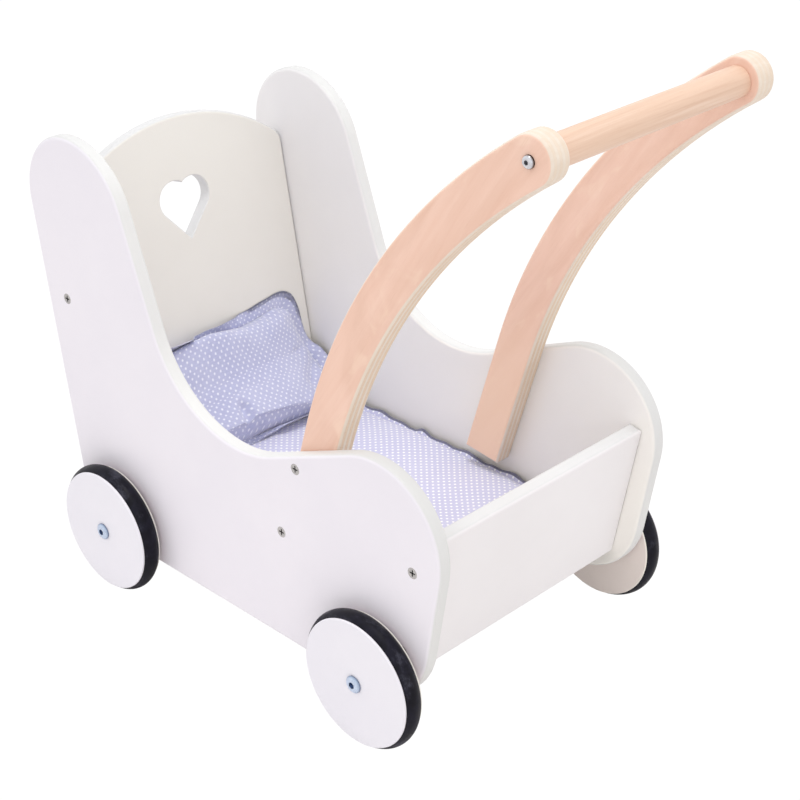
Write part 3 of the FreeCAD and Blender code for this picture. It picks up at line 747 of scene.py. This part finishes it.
def headboard_y(z):
    """Y of the headboard's inner face at a height, from the head side of the pillow's solid."""
    slope = math.tan(HEADBOARD_LEAN)
    return PILLOW_HIGH.y + PILLOW_BACK_GAP + (z - PILLOW_HIGH.z) * slope


def crease_pillow(co, u, v, front):
    """Soft creases on the front face: each is a groove with a low ridge beside it."""
    half_w, half_l = PILLOW_WIDTH / 2, PILLOW_LENGTH / 2
    creases = [
        (((-11 * MM, -20 * MM), (-15 * MM, -46 * MM)), 3.6 * MM, 8.0 * MM),
        (((97 * MM, -2 * MM), (72 * MM, -22 * MM)), 5.0 * MM, 5.0 * MM),
        (((99 * MM, 14 * MM), (78 * MM, 6 * MM)), 4.0 * MM, 3.5 * MM),
        (((-half_w, -10 * MM), (-70 * MM, -22 * MM)), 5.0 * MM, 2.5 * MM),
        (((-90 * MM, half_l), (-76 * MM, 22 * MM)), 5.0 * MM, 2.2 * MM),
        (((40 * MM, -half_l), (44 * MM, -30 * MM)), 4.0 * MM, 1.6 * MM),
    ]
    for line, spread, depth in creases:
        co[:, 2] -= depth * dent(u, v, line, spread) * front
        ridge = dent(u - 1.6 * spread, v, line, spread)
        co[:, 2] += 0.35 * depth * ridge * front


def pucker_pillow(co, u, v):
    """Puckers that run in from the seams and die out, and the ripple of the flat border."""
    half_w, half_l = PILLOW_WIDTH / 2, PILLOW_LENGTH / 2
    to_side, to_end = half_w - np.abs(u), half_l - np.abs(v)
    inside = (to_side > 0) & (to_end > 0) & (co[:, 2] > 0)
    for away, run_u, seed in ((to_end, u, 0.3), (to_side, v, 1.9)):
        wave = np.sin(run_u * 330 + seed) + 0.8 * np.sin(run_u * 545 + 3 * seed)
        fade = np.exp(-away / (9 * MM)) * np.clip(away / (4 * MM), 0, 1)
        co[:, 2] += inside * wave * fade * 1.3 * MM

    out = np.hypot(np.clip(np.abs(u) - half_w, 0, None), np.clip(np.abs(v) - half_l, 0, None))
    part = np.clip(out / PILLOW_BORDER, 0, 1)
    ripple = np.sin(u * 210 + 0.4) + np.sin(v * 260 + 1.0) + 0.8 * np.sin((u - v) * 120)
    ripple *= np.where(v < -half_l, 0.3, 1.0)
    co[:, 2] += part * 0.8 * MM * ripple


def slump_pillow(co, u, v):
    """Lean the filling over the top seam, most on the left, and over the front seam."""
    half_l = PILLOW_LENGTH / 2
    lean = 0.88 - 0.76 / (1 + np.exp(-(u - 30 * MM) / (14 * MM)))
    upper = np.clip(v / half_l, 0, 1)
    lower = np.clip(-v / half_l, 0, 1)
    co[:, 1] += np.clip(co[:, 2], 0, None) * (lean * upper - 0.42 * lower)


def pillow_path():
    """The pillow's middle surface in side view: flat on the mattress, up the slope, and then
    against the headboard. Returns places along the cut cloth, with a point and a direction each.
    """
    half_l = PILLOW_LENGTH / 2
    top_height = 172 * MM
    tip_height = 183 * MM
    foot = np.array([PILLOW_LOW.y + 1.5 * MM, PILLOW_LOW.z + 1.2 * MM])
    toe = foot + np.array([13 * MM, 2.0 * MM])
    top = np.array([headboard_y(top_height) - 2.0 * MM, top_height])
    tip = np.array([headboard_y(tip_height) - 1.2 * MM, tip_height])
    belly = np.array([8 * MM, -7 * MM])     # the slope sags towards the corner
    knots = [foot, toe]
    for k in (0.2, 0.4, 0.6, 0.8):
        knots.append(toe + (top - toe) * k + belly * math.sin(math.pi * k))
    knots += [top, tip]
    knots = np.array(knots)
    stations = np.concatenate([[-half_l - PILLOW_BORDER], np.linspace(-half_l, half_l, 6),
                               [half_l + PILLOW_BORDER]])
    fine = np.linspace(stations[0], stations[-1], 241)
    path = np.stack([np.interp(fine, stations, knots[:, k]) for k in (0, 1)], axis=1)
    # round the corners off by a moving average
    reach = 11
    kernel = np.hanning(2 * reach + 1) / np.hanning(2 * reach + 1).sum()
    ends = [np.pad(path[:, k], reach, mode="reflect", reflect_type="odd") for k in (0, 1)]
    path = np.stack([np.convolve(e, kernel, mode="valid") for e in ends], axis=1)
    slope = np.gradient(path, axis=0)
    slope /= np.linalg.norm(slope, axis=1)[:, None]
    return fine, path, slope


def lay_pillow(co, u, v):
    """Bend the pillow along its path, and keep it inside the space between the boards."""
    half_l = PILLOW_LENGTH / 2
    fine, path, slope = pillow_path()
    v_now = np.clip(co[:, 1], fine[0], fine[-1])
    centre = np.stack([np.interp(v_now, fine, path[:, k]) for k in (0, 1)], axis=1)
    along = np.stack([np.interp(v_now, fine, slope[:, k]) for k in (0, 1)], axis=1)
    # the top's right side is drawn up the slope
    rise = np.clip((u - 30 * MM) / (60 * MM), 0, 1) * np.clip(v_now / half_l, 0, 1.3) * 6.5 * MM
    placed = np.empty_like(co)
    upper = np.clip((v_now + 10 * MM) / (half_l + PILLOW_BORDER + 10 * MM), 0, 1)
    placed[:, 0] = co[:, 0] * (1.0 - 0.135 * upper)
    placed[:, 1] = centre[:, 0] - co[:, 2] * along[:, 1] + rise * along[:, 0]
    placed[:, 2] = centre[:, 1] + co[:, 2] * along[:, 0] + rise * along[:, 1]
    # the front edge lies a little askew
    placed[:, 1] -= 0.085 * (u + 12 * MM) * np.clip(-v / half_l, 0, 1)
    placed[:, 2] = np.maximum(placed[:, 2], PILLOW_LOW.z)
    placed[:, 1] = np.minimum(placed[:, 1], headboard_y(placed[:, 2]) - 0.8 * MM)
    placed[:, 0] = np.clip(placed[:, 0], -INNER_X + 1 * MM, INNER_X - 1 * MM)
    return placed


def pillow_pad():
    """Small pillow, propped from the mattress up against the headboard."""
    width, length = PILLOW_WIDTH, PILLOW_LENGTH
    piece, facts = sewn_sheets("pillow_pad", width, length, PILLOW_BORDER, 3.6 * MM, 0.12)
    blow_up(piece, facts, 4.2, 26, bending=0.25)
    co = vertices(piece)
    square_up(co, rest_places(piece), width, length)
    full = np.clip(np.abs(co[:, 2]) / np.abs(co[:, 2]).max(), 0, 1)
    co[:, 2] = np.sign(co[:, 2]) * PILLOW_FULL * full ** 0.72
    set_vertices(piece, co)
    double_border(piece, facts, CLOTH_THICK, front=0.5)
    co = vertices(piece)
    u, v = rest_places(piece).T
    plump = np.clip(np.abs(co[:, 2]) / (12 * MM), 0, 1)      # 0 at the seams and border
    front = (co[:, 2] > 0) * plump
    co[:, 2] += smooth_waves(co, 11, 0.06, 3.6 * MM) * plump
    crease_pillow(co, u, v, front)
    pucker_pillow(co, u, v)
    slump_pillow(co, u, v)
    set_vertices(piece, lay_pillow(co, u, v))
    finish_cloth(piece)
    half = (width / 2 + PILLOW_BORDER, length / 2 + PILLOW_BORDER)
    # painted shade: a faint dark band along the pillow's hem
    wear(piece, dotted_cotton("pillow_cotton", srgb(178, 181, 214), srgb(193, 196, 226),
                              srgb(156, 159, 201), srgb(232, 233, 246),
                              (6.8 * MM, 6.2 * MM), 0.90 * MM, half, (1.5 * MM, 0.4)))
    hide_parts("pillow")
    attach(piece, "pillow")


# =============================================================================
# studio
# =============================================================================
def studio():
    """White room with soft boxes overhead, at the side and over the cradle.

    A card on the floor, which the camera doesn't see, shades the underside.
    """
    mesh = bpy.data.meshes.new("floor_card")
    size = 3.0
    mesh.from_pydata([(-size, -size, 0), (size, -size, 0), (size, size, 0), (-size, size, 0)],
                     [], [(0, 1, 2, 3)])
    card = bpy.data.objects.new("floor_card", mesh)
    bpy.context.scene.collection.objects.link(card)
    wear(card, grey_card("grey_card"))
    card.visible_camera = False

    world = bpy.data.worlds.new("white_room")
    bpy.context.scene.world = world
    world.use_nodes = True
    background = world.node_tree.nodes["Background"]
    background.inputs["Color"].default_value = (1.0, 1.0, 1.0, 1.0)
    background.inputs["Strength"].default_value = ROOM_LEVEL

    def area(name, place, aim, size, power, colour, spread=180.0):
        light = bpy.data.lights.new(name, "AREA")
        light.shape = "SQUARE"
        light.spread = math.radians(spread)
        light.size = size
        light.energy = power
        light.color = colour
        lamp = bpy.data.objects.new(name, light)
        lamp.location = place
        lamp.rotation_euler = (Vector(aim) - Vector(place)).to_track_quat("-Z", "Y").to_euler()
        bpy.context.scene.collection.objects.link(lamp)

    area("overhead", (-0.4, -0.6, 2.4), (0, 0, 0.1), 1.6, OVERHEAD_POWER, (1.0, 0.99, 0.98))
    area("side", (-1.3, -1.9, 1.1), (0, 0, 0.2), 1.2, SIDE_POWER, (1.0, 0.99, 1.0))
    area("cradle", (-0.04, -0.06, 1.5), (0.0, 0.0, 0.1), 0.3, CRADLE_POWER, (1.0, 0.99, 0.98), 40)


def camera():
    """Long lens from the near rear corner, as high as a standing child's eyes."""
    place = (-0.8846, -0.8941, 0.8591)
    azimuth = math.radians(-45.62)
    elevation = math.radians(28.106)
    back = Vector((math.sin(azimuth) * math.cos(elevation),
                   -math.cos(azimuth) * math.cos(elevation), math.sin(elevation)))
    data = bpy.data.cameras.new("camera")
    data.lens = 80.51
    data.sensor_width = 36.0
    data.clip_start = 0.05
    data.clip_end = 50.0
    eye = bpy.data.objects.new("camera", data)
    eye.location = place
    eye.rotation_euler = (-back).to_track_quat("-Z", "Y").to_euler()
    bpy.context.scene.collection.objects.link(eye)
    bpy.context.scene.camera = eye


# =============================================================================
# assembly
# =============================================================================
camera()
studio()
bpy.context.scene.view_settings.view_transform = "Standard"

# painted light: the inside tones are the inward faces' painted light, warmer than the outward
# face, on the panels paler low down
PANEL_PAINT = white_paint("panel_paint", srgb(239, 235, 242),
                          (srgb(250, 247, 241), srgb(237, 235, 236)), srgb(222, 222, 221))
# painted light and shade: the discs' inward faces take a warmer tone, for the warm shade under
# the body
DISC_INSIDE_PAINTED_LIGHT = srgb(242, 231, 225)
DISC_PAINT = white_paint("disc_paint", srgb(236, 234, 241), (DISC_INSIDE_PAINTED_LIGHT, DISC_INSIDE_PAINTED_LIGHT),
                         srgb(244, 241, 230), DISC_FLANGE_X)
CROSS_PAINT = cross_board_paint("cross_board_paint", srgb(238, 235, 237), srgb(232, 229, 223),
                                srgb(220, 220, 221))
PLY = birch_ply("birch_ply")
DOWEL = dowel_wood("dowel_wood")
RUBBER = black_rubber("black_rubber")
NO_CROWN = 1.0                              # a crown out of reach, for a metal of one tone
# painted reflection and shade: the bolt's and screws' heads are painted bright on the crown and
# dark in the recess and at the rim
BOLT_ZINC = plated_steel("zinc_bolt", srgb(204, 218, 238), srgb(136, 152, 178),
                         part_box("wheel_bolt_front_right")[1].x, 2.4 * MM, 0.24)
ZINC = plated_steel("zinc_plate", srgb(190, 200, 216), srgb(190, 200, 216), NO_CROWN,
                    1.0 * MM, 0.28)
BAR_CHROME = plated_steel("bar_screw_chrome", srgb(222, 222, 226), srgb(34, 32, 36),
                          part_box("handle_bar_screw_right")[1].x, 2.6 * MM, 0.10)
SCREW_CHROME = plated_steel("panel_screw_chrome", srgb(190, 188, 186), srgb(40, 38, 40),
                            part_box("foot_board_screws")[1].x, 0.9 * MM, 0.22)
BRASS = plated_steel("turned_brass", srgb(214, 170, 96), srgb(214, 170, 96), NO_CROWN,
                     1.0 * MM, 0.30)
NYLON = plain_nylon("natural_nylon")

SKIN = {
    "side_panel": PANEL_PAINT,
    "headboard_screws": SCREW_CHROME,
    "foot_board_screws": SCREW_CHROME,
    "handle_arm_screws": SCREW_CHROME,
    "headboard": CROSS_PAINT,
    "foot_board": CROSS_PAINT,
    "floor_board": CROSS_PAINT,
    "handle_arm": PLY,
    "handle_bar_screw": BAR_CHROME,
    "handle_bar_insert": BRASS,
    "handle_bar": DOWEL,
    "wheel_disc": DISC_PAINT,
    "tyre": RUBBER,
    "wheel_bush": NYLON,
    "wheel_bolt": BOLT_ZINC,
    "wheel_spacer": ZINC,
    "wheel_nut": ZINC,
}

# the longest stem that fits a node's name is its own; the two pads bring their own cloth
STEMS = sorted(SKIN, key=len, reverse=True)
for node, piece in NODES.items():
    for stem in STEMS:
        if node.startswith(stem):
            wear(piece, SKIN[stem])
            break

mattress_pad()
pillow_pad()
